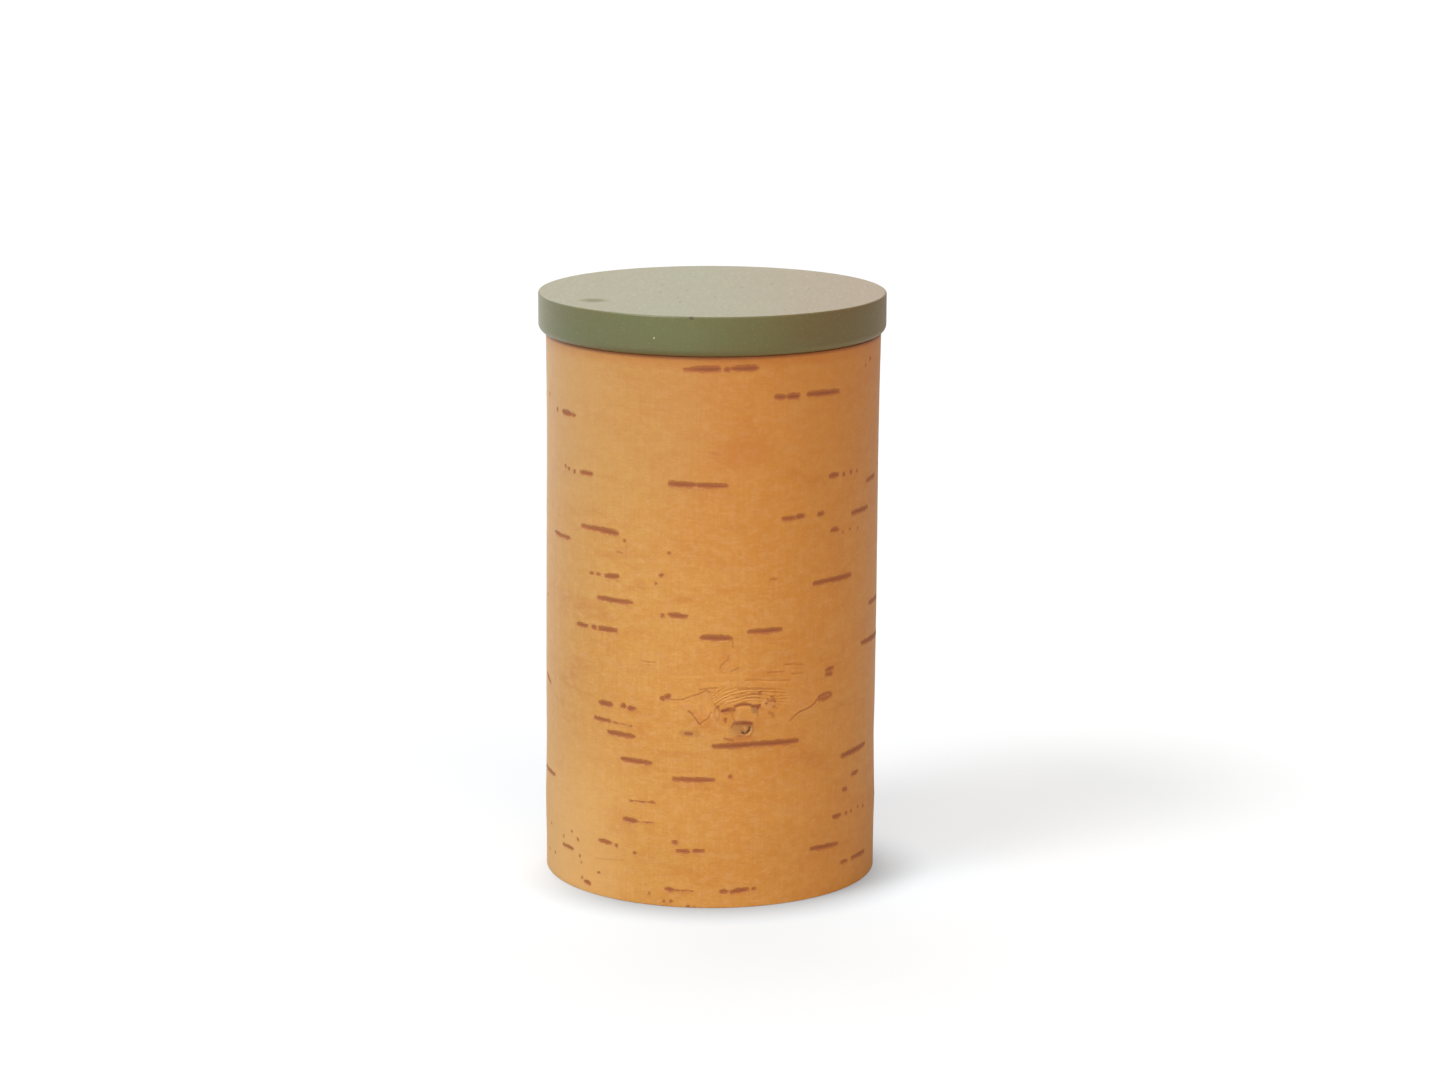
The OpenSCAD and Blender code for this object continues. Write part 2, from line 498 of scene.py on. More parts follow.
# Lenticels: both ends, the thickness and the taper, -1 to 1 for thin at the left or right end.
# They are given as frame pixels seen from the camera.
lenticelLines = [
    (682, 369.5, 722, 369, 6.4, -0.9), (724, 370, 731, 370, 4.6, 0), (730, 369, 759, 368, 6, -0.3),
    (774, 397, 787, 397, 5, 0.2), (786, 396.8, 800.5, 396, 5.6, 0),
    (806.5, 394.5, 839.5, 391, 5.4, 0.2), (561.5, 411.5, 571.5, 414.5, 5, 0),
    (571.5, 414.6, 575.5, 415.6, 3, 0.5), (579, 472, 592.5, 474.4, 4.2, -0.3),
    (667.5, 484, 697, 485.6, 5.2, 0), (695, 485.6, 729, 486.4, 4.8, 0.3),
    (829, 476.4, 839, 474.2, 4.6, 0), (866, 481, 874.5, 474.5, 4, 0), (782, 519.4, 796, 518, 4, 0),
    (796, 517.4, 805.5, 515.6, 5, 0), (817.5, 515, 824.5, 512.6, 4.4, 0),
    (851.5, 513.4, 868, 506.4, 4.4, 0), (830.5, 530.4, 839, 529, 4.2, 0),
    (580.5, 525.6, 606, 530.8, 4.4, -0.6), (597, 529.2, 619, 534, 5, 0),
    (554.5, 531.6, 563.5, 536.4, 3.6, 0), (563, 536, 570, 538.6, 3, 0), (590, 573, 594, 573.4, 2.2, 0),
    (596.5, 573.6, 601, 574.4, 2.6, 0), (604.5, 576, 619.5, 576.6, 4.5, 0),
    (659.5, 577.4, 663, 574, 3.6, 0), (812.5, 583.8, 832, 579.8, 4.2, 0),
    (825, 581.2, 851.5, 574.4, 4.8, 0.2), (597.5, 597.4, 633.5, 603.2, 4.6, 0.4),
    (668.5, 615, 688.5, 617, 4.8, 0.3), (868.5, 603, 876.5, 595, 4, 0),
    (577.5, 623.4, 588.5, 626.4, 4.6, 0), (591.5, 626.6, 597, 627.6, 4.6, 0),
    (598, 628.4, 618.5, 631, 5, 0.3), (699.5, 637.6, 732.5, 638.4, 5.6, 0),
    (746.5, 632.4, 782.8, 629.4, 5, -0.5), (861, 643, 876.5, 630.5, 5, 0),
    (825.6, 670.2, 833.5, 667.8, 3.8, 0), (825.6, 675, 832.5, 673.4, 3.8, 0),
    (547.8, 672, 551.8, 683, 3.6, 0), (659.5, 698.8, 666, 698.6, 4.4, -0.4),
    (664, 697.6, 671.5, 696, 5, 0), (599, 702, 613.5, 705.2, 5.2, 0),
    (620.5, 705.6, 627, 706.4, 4.6, 0), (627, 708.6, 636.5, 708.6, 4.6, 0.4),
    (594.5, 717.4, 611.5, 721.4, 4, 0.3), (607.5, 731.6, 636.5, 737.2, 4.8, 0.4),
    (711.5, 746.8, 758, 744, 5.4, -0.2), (744, 744.6, 799.5, 740.6, 5.2, 0.1),
    (620.5, 758.6, 652.5, 763.6, 4.6, 0.2), (671.5, 779.2, 715, 780.5, 4.6, -0.3),
    (841.5, 756.6, 866, 743.2, 5, 0.3), (547.5, 764, 556.5, 775, 3.6, 0),
    (852, 774.8, 858.8, 770.8, 3.6, 0), (842.5, 790.2, 847.5, 788.4, 3.8, 0),
    (832, 817.2, 841, 814.8, 4.2, 0), (623.5, 818.6, 638, 821.4, 4.4, 0),
    (563.8, 843.6, 574.5, 849.2, 2.8, 0), (599.6, 839.8, 612.5, 843, 3.6, 0),
    (578, 838, 580, 841, 2, 0), (672.5, 842.4, 678.5, 842, 4, 0),
    (675.8, 850.8, 690, 851.4, 4.2, -0.4), (692.8, 851.2, 705, 850.8, 3.6, 0.3),
    (810, 849.2, 838.5, 843.4, 4.4, 0.3), (841, 862.8, 848, 860.4, 3.2, 0),
    (851.5, 858.4, 865, 850.6, 4, 0), (584.5, 880.6, 591.5, 883.8, 3.6, 0),
    (665, 888.8, 673.8, 890, 4.2, 0), (719.5, 892, 728.5, 891.6, 3.4, 0),
    (730, 892.2, 748.8, 889.2, 4.4, 0), (611, 721.4, 632, 726.4, 0.1, 0.8),
    (637, 821.6, 654, 822.8, 0.1, 0.8), (630, 800.6, 654.8, 802.8, 0.5, 0),
    (650, 802, 655, 803, 1.6, 0), (673.4, 890, 693, 891, 0.1, 0.8),
]
# One lenticel has a paler middle: the same, and it is drawn as a ring.
lenticelRings = [(817.6, 699.2, 832.4, 693.6, 7.2, 0)]
ringThick = 0.50             # mm from its edge to the paler middle
# Small round marks: place and width, as frame pixels.
lenticelDots = [
    (556.7, 409.5, 3.4), (549, 394, 3), (869, 358, 3.4), (864.5, 365, 2.4), (565, 466, 3),
    (568.5, 469, 3.4), (574, 471.5, 3.6), (844, 474, 3), (851, 472, 3.4), (857, 470.5, 2.6),
    (877, 463.6, 3), (548, 594, 3), (669, 553.5, 2.2), (662.5, 616, 3.2), (655.5, 583.5, 2.4),
    (730, 777, 3), (846, 813, 3), (851, 811, 3), (858, 806.5, 3), (863, 806, 2.6), (617, 845.5, 3.4),
    (580.6, 855.7, 2.1), (582, 862, 1.5), (599, 872.7, 2.4), (635, 853, 2.6), (754, 889, 3),
    (551, 848, 1.9), (556, 852, 2.3), (553, 823, 1.6), (565, 836, 1.5), (573, 831, 1.5),
    (582.5, 877, 1.7), (649.5, 893, 1.7), (760, 693, 2), (725, 719.5, 2), (718, 707.5, 2),
    (688, 906.6, 2.4), (694, 907, 2), (671, 901, 2.2), (664, 901.5, 2), (768, 699, 1.5),
    (771.2, 700.3, 1.5), (774, 701, 1.6), (771, 696.6, 1.4), (766, 703.6, 1.4), (774.2, 706.6, 1.5),
    (624, 541, 2), (850, 529, 2), (843, 532, 2), (858, 528, 1.8),
]
# Fine creases of the bark round the knot: a run of frame pixels, and the thickness in mm.
creaseLines = [
    ([(671, 700), (682, 700), (690, 697), (700, 694), (706, 691)], 0.20),
    ([(688.6, 711), (692, 714), (696, 719), (698, 722.6), (700.6, 724.6), (704, 721), (708, 719),
      (711.6, 712.2)], 0.22),
    ([(817, 699.6), (815, 703.4), (812, 706), (806, 709.5), (800, 711.8), (796, 715),
      (790, 721)], 0.24), ([(715, 703.5), (716, 708), (714.4, 713), (716, 718), (717, 722)], 0.16),
    ([(728.6, 656), (728.4, 660), (722, 665), (720, 668.4)], 0.05),
    ([(784, 665), (794, 664.3), (806, 664.6)], 0.20),
    ([(768, 672.8), (776, 672.4), (784, 672.2)], 0.22), ([(792, 674), (803, 673.4)], 0.20),
    ([(745, 680.9), (757, 680.1), (770, 680.8), (790, 680.2)], 0.05),
    ([(700, 690), (709, 688.8), (717, 688.4)], 0.28),
    ([(738, 689.2), (757, 688.8), (775, 689.4)], 0.26),
    ([(641, 661), (648, 662.5), (655, 662.2)], 0.14),
]
knotLook = {
    "centre": (742.5, 728.5),        # frame pixels
    "halfWide": 3.1,                 # mm
    "halfHigh": 2.3,
    "swell": 0.40,                   # mm that the bark stands out round it
    "swellWide": 13,
    "swellHigh": 8,
    "swellAbove": 3,                 # mm above the centre
    "ringHigh": 0.05,                # mm of the raised ring round it
    "hollow": 0.16,                  # mm that its middle is sunk
    "pitWide": 0.56,                 # mm
    "pitLine": [(749.6, 727.6), (749.2, 730.2), (747.4, 732.4), (744.6, 734), (742.2, 732.6)],
    # soft strokes: a run of frame pixels, the thickness in pixels and the strength
    "brown": [
        ([(688.6, 711), (692, 714), (696, 719), (698, 722.6), (700.6, 724.6)], 2, 0.5),
        ([(700.6, 724.6), (704, 721), (708, 719), (711.6, 712.2)], 1.4, 0.22),
        ([(682, 700), (690, 697.6), (700, 694), (706, 691)], 1.4, 0.3),
        ([(709, 692), (711.4, 698), (713, 703)], 1.4, 0.35),
        ([(817, 699.6), (815, 703.4), (812, 706), (806, 709.5), (800, 711.8)], 2, 0.5),
        ([(800, 711.8), (796, 715), (790, 721)], 1.8, 0.35), ([(724, 645), (723.6, 656)], 2, 0.2),
        ([(728.6, 655.6), (728.4, 660), (722, 665), (720, 668.4)], 2.4, 0.22),
        ([(722, 710.8), (728, 709.4)], 3.4, 0.9), ([(728, 709), (733.6, 709.6)], 5, 0.6),
        ([(724, 713), (732, 712.6)], 2.2, 0.4),
        ([(735, 706), (739, 704.6), (744, 703.8), (750, 704.4)], 3, 0.8),
        ([(751.5, 706), (759.6, 705.6)], 3, 0.8), ([(757.5, 708), (759.6, 704.8)], 2.8, 0.85),
        ([(759.5, 707.6), (763, 709)], 1.6, 0.5), ([(735, 723), (743, 722.6), (751, 723.4)], 5, 0.62),
        ([(743, 722.6), (750.4, 722.8)], 2.4, 1.0), ([(733, 722.6), (731.6, 727.5)], 2.2, 0.6),
        # the first run below, down the right side of the knot, is painted shade beside the raised disc
        ([(752, 724), (752.6, 731), (749.6, 736)], 2.6, 0.4), ([(738, 735.6), (748, 736.2)], 2.4, 0.4),
        ([(724.5, 738.4), (728.5, 739.4), (733, 740.4)], 3.2, 0.5),
        ([(769, 712.4), (772.4, 713.6), (772.6, 716.6)], 3.4, 0.45),
        ([(717.8, 706), (718.6, 709.6)], 2, 0.7), ([(719.6, 711), (719.4, 715), (718, 720)], 1.4, 0.5),
        ([(725.6, 718.4), (725.4, 721.4)], 2.4, 0.75),
        ([(731.6, 713), (733, 717), (734.4, 720.5)], 1.8, 0.5),
        ([(756.8, 711), (757.4, 715.5)], 2.2, 0.45), ([(751.4, 693.6), (759, 693.2)], 2.8, 0.5),
        ([(746, 697.4), (759.5, 697.6)], 1.8, 0.45), ([(706.6, 690.6), (709.6, 692.6)], 3, 0.45),
        ([(731, 671), (735, 669.6), (738.4, 668)], 2, 0.5), ([(732.7, 641.4), (733, 647.4)], 2, 0.5),
        ([(686, 733.4), (691.4, 733.8)], 4.4, 0.7), ([(683, 733.2), (697, 734)], 8, 0.3),
        ([(767.6, 700), (768.8, 701)], 1.8, 0.7), ([(773.4, 696.6), (773.6, 698)], 1.6, 0.7),
        ([(774.4, 700.4), (775, 702)], 2, 0.7), ([(775.4, 705.6), (775.6, 707.4)], 1.6, 0.45),
        ([(789.6, 680.5), (786.5, 686)], 2, 0.25), ([(617, 551.5), (622, 553)], 2, 0.5),
        ([(712, 453), (718, 455)], 2, 0.4), ([(771, 579), (776, 579)], 3, 0.5),
        ([(650, 896), (669, 899)], 1.4, 0.25), ([(616, 581), (621, 582)], 1.8, 0.4),
        ([(597, 858), (624, 860)], 2, 0.3),
    ],
    # pale strokes: partly paler bark, partly painted highlight on fold crests and on the knot's ridge
    "paleStreakAndHighlight": [
        ([(720, 692.8), (728, 691.8), (742, 691.2), (757, 691.8)], 1.6, 0.7),
        ([(715, 701.5), (719, 698), (724, 696), (731, 695.4)], 1.6, 0.6),
        ([(722, 700.6), (735, 699.6), (758, 700.4)], 1.6, 0.6),
        ([(760, 706.4), (763, 702), (768, 698.8), (771, 696.6)], 1.6, 0.75),
        ([(763, 704.4), (767, 703.4)], 2.6, 0.5), ([(672, 677.4), (700, 676.6)], 1.8, 0.4),
        ([(745, 682.8), (768, 682.4), (790, 682.8)], 1.8, 0.6),
        ([(716, 675.4), (742, 674.6)], 2.4, 0.35), ([(702, 684), (735, 683)], 3.4, 0.35),
        ([(672, 704.6), (690, 703)], 3, 0.4), ([(725, 667), (729, 664.6), (733, 663.8)], 1.6, 0.4),
        ([(736, 708.4), (741, 707.4), (748, 708)], 2.2, 0.45),
        ([(706, 706), (709, 712), (712, 718)], 1.6, 0.4),
        ([(700, 702), (697, 708), (699, 714), (704, 718)], 1.6, 0.35),
        ([(744, 727), (746, 729.5), (745, 731.5)], 1.8, 0.6),
        ([(761, 695.6), (772, 694.6)], 1.6, 0.35), ([(777, 712), (782, 706), (790, 699)], 1.8, 0.3),
    ],
    # soft spots: frame pixels, half width, half height, strength
    "grey": [(741.5, 728.6, 10.6, 8.4, 0.6), (754.4, 709.2, 3.4, 4.2, 0.9)],
    "dusty": [
        (768, 704, 9, 5.5, 0.5), (716, 716, 4, 7, 0.45), (702, 709, 9, 9, 0.35),
        (686, 706.5, 5, 3, 0.7), (796, 702, 15, 14, 0.35), (757, 698, 12, 4, 0.25),
    ],
    "stain": [
        (742, 455, 34, 15, 0.5), (742, 739.5, 17, 4.4, 0.8), (728, 712, 9, 5, 0.6),
        (758, 726, 5, 10, 0.5), (765, 716, 10, 8, 0.3), (727, 718, 7, 7, 0.4), (743, 713, 8, 5, 0.3),
        (785, 383, 40, 14, 0.3), (724, 563, 26, 10, 0.2), (700, 820, 60, 12, 0.15),
        (835, 540, 22, 40, 0.2), (724, 655, 5, 10, 0.35),
    ],
    # folds: the same, for where they show
    "folds": [(745, 695.5, 32, 8.5, 1.0), (720, 699, 9, 7, 0.7), (777, 697, 14, 9, 0.55)],
    "foldStep": 0.86,                # mm from one to the next, over the knot
    "foldFlatLeft": 1.05,            # how much flatter than a circle they run
    "foldFlatRight": 3.4,
    "foldHigh": 0.05,                # mm
}


def runOnWall(line, thick):
    # a run of frame pixels as strokes in mm: across, up, across, up, thickness, taper
    # strokes without a taper join
    spots = [spotOnWall(x, y, jacketRadius) for x, y in line]
    return [first + second + (thick, None) for first, second in zip(spots, spots[1:])]


def strokesOnWall(lines):
    strokes = []
    for x0, y0, x1, y1, thick, taper in lines:
        first, second = spotOnWall(x0, y0, jacketRadius), spotOnWall(x1, y1, jacketRadius)
        strokes.append(first + second + (thick * markSize, taper))
    return strokes


def dotsOnWall(dots):
    strokes = []
    for x, y, wide in dots:
        across, up = spotOnWall(x, y, jacketRadius)
        wide *= markSize * 1.3           # the ragged edge eats into small marks
        reach = wide * 0.15
        strokes.append((across - reach, up, across + reach, up, wide, 0))
    return strokes


def spotField(across, up, spots):
    # soft elliptic spots, given as frame pixels with their half width, half height and strength
    field = np.zeros(across.shape)
    for x, y, halfWide, halfHigh, strength in spots:
        spotX, spotZ = spotOnWall(x, y, jacketRadius)
        away = np.hypot((across - spotX) / (halfWide * markSize), (up - spotZ) / (halfHigh * markSize))
        field = np.maximum(field, strength * np.exp(-away ** 4 * 0.7))
    return field


def paintField(across, up, runs):
    # soft strokes, from 0 to 1
    field = np.zeros(across.shape)
    for line, thick, strength in runs:
        edge = strokeField(across, up, runOnWall(line, thick * markSize), far=1.0)
        field = np.maximum(field, strength * smoothStep(np.clip((0.3 - edge) / 0.6, 0, 1)))
    return field


def randomStrokes(seed, start, end, low, high, count):
    # lenticels of like sizes where none were listed
    draw = random.Random(seed)
    strokes = []
    for _ in range(count):
        across, up = draw.uniform(start, end), draw.uniform(low, high)
        length = min(draw.lognormvariate(1.55, 0.55), 15)
        thick = draw.uniform(0.75, 1.05) + length * 0.045
        tilt = draw.gauss(0, 0.03)
        parts = 1 if length < 4 or draw.random() < 0.6 else draw.choice((2, 3))
        left = across
        for _ in range(parts):
            share = length / parts * draw.uniform(0.7, 1.1)
            rise = (left - across) * tilt
            taper = draw.uniform(-0.6, 0.6)
            strokes.append((left, up + rise, left + share, up + rise + share * tilt, thick, taper))
            left += share + draw.uniform(0.3, 1.4)
        for _ in range(draw.choice((0, 0, 0, 1, 2, 3))):
            away = draw.choice((-1, 1)) * draw.uniform(1.5, 5)
            spot = (across if away < 0 else left) + away
            strokes.append((spot, up + draw.gauss(0, 0.4), spot + 0.2, up, draw.uniform(0.6, 1.0), 0))
    return strokes


def strokeField(across, up, strokes, far=4.0):
    # distance in mm to the edge of the nearest stroke, negative inside it
    field = np.full(across.shape, far)
    for s0, z0, s1, z1, thick, taper in strokes:
        reach = far + thick
        near = np.flatnonzero((across > min(s0, s1) - reach) & (across < max(s0, s1) + reach)
                              & (up > min(z0, z1) - reach) & (up < max(z0, z1) + reach))
        length = max(math.hypot(s1 - s0, z1 - z0), 1e-6)
        trim = 0 if taper is None else min(thick / 2, length * 0.45) / length
        first = np.array((s0, z0)) + np.array((s1 - s0, z1 - z0)) * trim
        run = np.array((s1 - s0, z1 - z0)) * (1 - 2 * trim)
        x, y = across[near] - first[0], up[near] - first[1]
        along = np.clip((x * run[0] + y * run[1]) / max(run @ run, 1e-12), 0, 1)
        gap = np.hypot(x - along * run[0], y - along * run[1])
        half = thick / 2
        if taper is not None:
            half *= 1 - 0.25 * np.abs(2 * along - 1) ** 3
            half *= 1 - 0.6 * abs(taper) * (along if taper > 0 else 1 - along) ** 2
        field[near] = np.minimum(field[near], gap - half)
    return field


jacketLow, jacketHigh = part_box("bark_jacket")
jacketBack, jacketRadius = wallRadii("bark_jacket")
sleeveBore, sleeveRadius = wallRadii("bark_sleeve")
# Millimetres for one frame pixel at the wall's front.
markSize = (-cameraLook["place"][1] - jacketRadius) * cameraLook["sensor"] / (
    cameraLook["lens"] * cameraLook["frameWide"]) / mm * 1.02

jacket = {
    "columns": 212,
    "rows": 132,
    "frontShare": 0.63,      # of the columns lie in the front part
    "frontReach": 0.53,      # of the way round
    "edge": 0.3,             # mm, rounding of the cut edges
    "lap": 9.0,              # mm, length of the half-lap seam
    "seamGap": 0.12,         # mm
    "lip": 0.5,              # mm from the seam's edge to the next column
    "flapStands": 0.10,      # mm that the outer flap stands above the sheet beside the seam
    "leanTop": 0.38,         # mm to the right at the rim
    "leanFoot": -0.28,
    "leanFrom": 0.25,        # of the height, below which the lean stays as at the foot
    # waves of the wall, all in mm: the height, how far they reach and how far they stand out
    "waves": [(126, 24, -0.20), (42, 8, -0.12), (22, 8, 0.22)],
    "flare": 0.12,           # mm that the last of the wall widens up to the rim
    "flareFrom": 150,        # mm above the foot
    "hills": 0.16,           # mm of broad unevenness
    "ripples": 0.05,
    "markDepth": 0.05,       # mm that a lenticel is sunk, and that the bark beside it stands up
    "creaseRidge": 0.08,
    "creaseDepth": 0.07,
    "pitDepth": 0.30,
    "backMarks": (50, 54),   # invented lenticels on the left and the right half of the back
    "round": 2 * math.pi * jacketRadius / mm,
    "high": jacketHigh.z / mm,
}
sleeve = {
    "columns": 160,
    "rows": 90,
    "edge": 0.3,
    "markDepth": 0.02,
    "marks": 110,
    "round": 2 * math.pi * sleeveBore / mm,
    "high": jacketHigh.z / mm,
}


def flatSheet(name, look, columnPlaces, rowPlaces):
    # a grid whose columns and rows lie at the given places, in mm across and up
    deselectAll()
    bpy.ops.mesh.primitive_grid_add(x_subdivisions=look["columns"], y_subdivisions=look["rows"], size=1)
    sheet = bpy.context.active_object
    sheet.name = name
    places = readPlaces(sheet)
    across = (places[:, 0] + 0.5) * look["columns"]
    up = (places[:, 1] + 0.5) * look["rows"]
    places[:, 0] = np.interp(across, np.arange(look["columns"] + 1), columnPlaces)
    places[:, 1] = np.interp(up, np.arange(look["rows"] + 1), rowPlaces)
    places[:, 2] = 0
    writePlaces(sheet, places)
    return sheet


def finerMesh(sheet, wanted):
    # cuts faces into quarters, where wanted(across, up) says so for their centres
    centres = np.empty(len(sheet.data.polygons) * 3)
    sheet.data.polygons.foreach_get("center", centres)
    centres = centres.reshape(-1, 3)
    chosen = wanted(centres[:, 0], centres[:, 1])
    startEdit(sheet)
    mesh = bmesh.from_edit_mesh(sheet.data)
    for face, pick in zip(mesh.faces, chosen):
        face.select_set(bool(pick))
    bmesh.update_edit_mesh(sheet.data)
    bpy.ops.mesh.subdivide(number_cuts=1)
    endEdit()


def sheetUv(sheet, look):
    # one unit of the map is once round and once the whole height
    layer = sheet.data.uv_layers[0]
    layer.name = "sheet"
    places = readPlaces(sheet)
    corners = np.empty(len(sheet.data.loops), dtype=int)
    sheet.data.loops.foreach_get("vertex_index", corners)
    spots = places[corners][:, :2] / np.array((look["round"], look["high"]))
    layer.uv.foreach_set("vector", spots.astype(np.float32).ravel())


def keepField(piece, name, values):
    layer = piece.data.attributes.new(name, "FLOAT", "POINT")
    layer.data.foreach_set("value", values.astype(np.float32))


def rollSheet(sheet, radius, across, up, relief):
    # across and up in mm become angle and height, relief in mm stands out from the radius
    angle = across * mm / radius
    reach = radius + relief * mm
    writePlaces(sheet, np.stack((reach * np.sin(angle), -reach * np.cos(angle), up * mm), axis=1))


def closeSeam(sheet):
    startEdit(sheet, "VERT")
    bpy.ops.mesh.select_all(action="SELECT")
    bpy.ops.mesh.remove_doubles(threshold=0.00001)
    endEdit()


def turnRim(sheet, atTop, backRadius, edge, thick, high):
    # extrudes the open edge loop at one end over the rim to the wall's other side
    startEdit(sheet, "EDGE")
    middle = high / 2
    pickParts(sheet, "edges", lambda e: e.is_boundary and (e.verts[0].co.z > middle) == atTop)
    # each step: the share of the way to the other side, and the rise
    # both corners are rounded, with two rows across the flat between them
    quarter = [math.radians(15 + 15 * k) for k in range(6)]
    rounding = [(edge / thick * (1 - math.cos(t)), edge * math.sin(t)) for t in quarter]
    steps = rounding + [(0.38, edge), (0.62, edge)]
    steps += [(1 - share, rise) for share, rise in reversed(rounding)] + [(1.0, 0.0)]
    lastShare, lastRise = 0.0, 0.0
    for share, rise in steps:
        bpy.ops.mesh.extrude_region_move()
        mesh = bmesh.from_edit_mesh(sheet.data)
        for corner in (c for c in mesh.verts if c.select):
            reach = math.hypot(corner.co.x, corner.co.y)
            wanted = reach + (backRadius - reach) * (share - lastShare) / (1 - lastShare)
            corner.co.x *= wanted / reach
            corner.co.y *= wanted / reach
            corner.co.z += (rise - lastRise) * (1 if atTop else -1)
        bmesh.update_edit_mesh(sheet.data)
        lastShare, lastRise = share, rise
    endEdit()


def closeBack(sheet):
    # joins the two turned rims along the hidden side of the wall
    startEdit(sheet, "EDGE")
    pickParts(sheet, "edges", lambda e: e.is_boundary)
    bpy.ops.mesh.bridge_edge_loops()
    bpy.ops.mesh.select_all(action="SELECT")
    bpy.ops.mesh.normals_make_consistent(inside=False)
    endEdit()


def markCutEdges(sheet, low, high, edge, skinRadius, slack):
    # the rims take the second material slot
    for face in sheet.data.polygons:
        reach = math.hypot(face.center.x, face.center.y)
        atEnd = face.center.z > high - edge * 0.55 or face.center.z < low + edge * 0.55
        if atEnd and abs(reach - skinRadius) > slack:
            face.material_index = 1


def closeWall(sheet, look, skinRadius, backRadius, slack):
    # gives the rolled sheet its seam, its rims and its other side
    high, edge = jacketHigh.z, look["edge"] * mm
    closeSeam(sheet)
    for atTop in (True, False):
        turnRim(sheet, atTop, backRadius, edge, abs(skinRadius - backRadius), high)
    closeBack(sheet)
    markCutEdges(sheet, jacketLow.z, high, edge, skinRadius, slack)
    settle(sheet, sheet.name)
    smoothPiece(sheet, 50)


def jacketColumns(look):
    # the two ends meet in the seam's groove, and the front has the closer columns
    halfLap = look["lap"] / 2
    start = -(look["round"] / 2 - halfLap)
    last = look["columns"]
    front = look["round"] * look["frontReach"] / 2
    inFront = int(last * look["frontShare"])
    left = (last - inFront) // 2
    marks = [0, 1, 2, left, left + inFront, last - 2, last - 1, last]
    end = start + look["round"]
    spots = [start, start + look["seamGap"] / 2, start + look["lip"], -front, front,
             end - look["lip"], end - look["seamGap"] / 2, end]
    return np.interp(np.arange(last + 1), marks, spots)


def jacketDrift(across, up, look):
    # a hand-made wall isn't a true cylinder: it leans, narrows in the upper half and swells near the foot
    share = up / look["high"]
    share = np.clip((share - look["leanFrom"]) / (1 - look["leanFrom"]), 0, 1)
    lean = look["leanFoot"] + (look["leanTop"] - look["leanFoot"]) * share
    drift = lean * np.sin(across / look["round"] * 2 * np.pi)
    for middle, reach, out in look["waves"]:
        drift += out * bell(up, middle, reach)
    return drift + look["flare"] * np.clip((up - look["flareFrom"]) / 16, 0, 1)


def foldFields(across, up, look):
    # flat ovals round the knot, counted outwards
    spotX, spotZ = spotOnWall(*look["centre"], jacketRadius)
    flat = np.where(across < spotX, look["foldFlatLeft"], look["foldFlatRight"])
    reach = np.hypot((across - spotX) / flat, up - spotZ)
    count = reach / look["foldStep"] + 1.1 * softNoise(across / 4 + 40, up / 2.2 + 40, 7)
    return count, spotField(across, up, look["folds"])


def knotRelief(across, up, look):
    spotX, spotZ = spotOnWall(*look["centre"], jacketRadius)
    away = np.hypot((across - spotX) / look["halfWide"], (up - spotZ) / look["halfHigh"])
    broad = bell(across, spotX, look["swellWide"]) * bell(up, spotZ + look["swellAbove"], look["swellHigh"])
    count, share = foldFields(across, up, look)
    folds = look["foldHigh"] * share * np.sin(2 * np.pi * count)
    # away is 1 on the oval of the knot itself
    middle = look["ringHigh"] * bell(away, 1.05, 0.22) - look["hollow"] * bell(away, 0, 0.7)
    return look["swell"] * broad + middle + folds


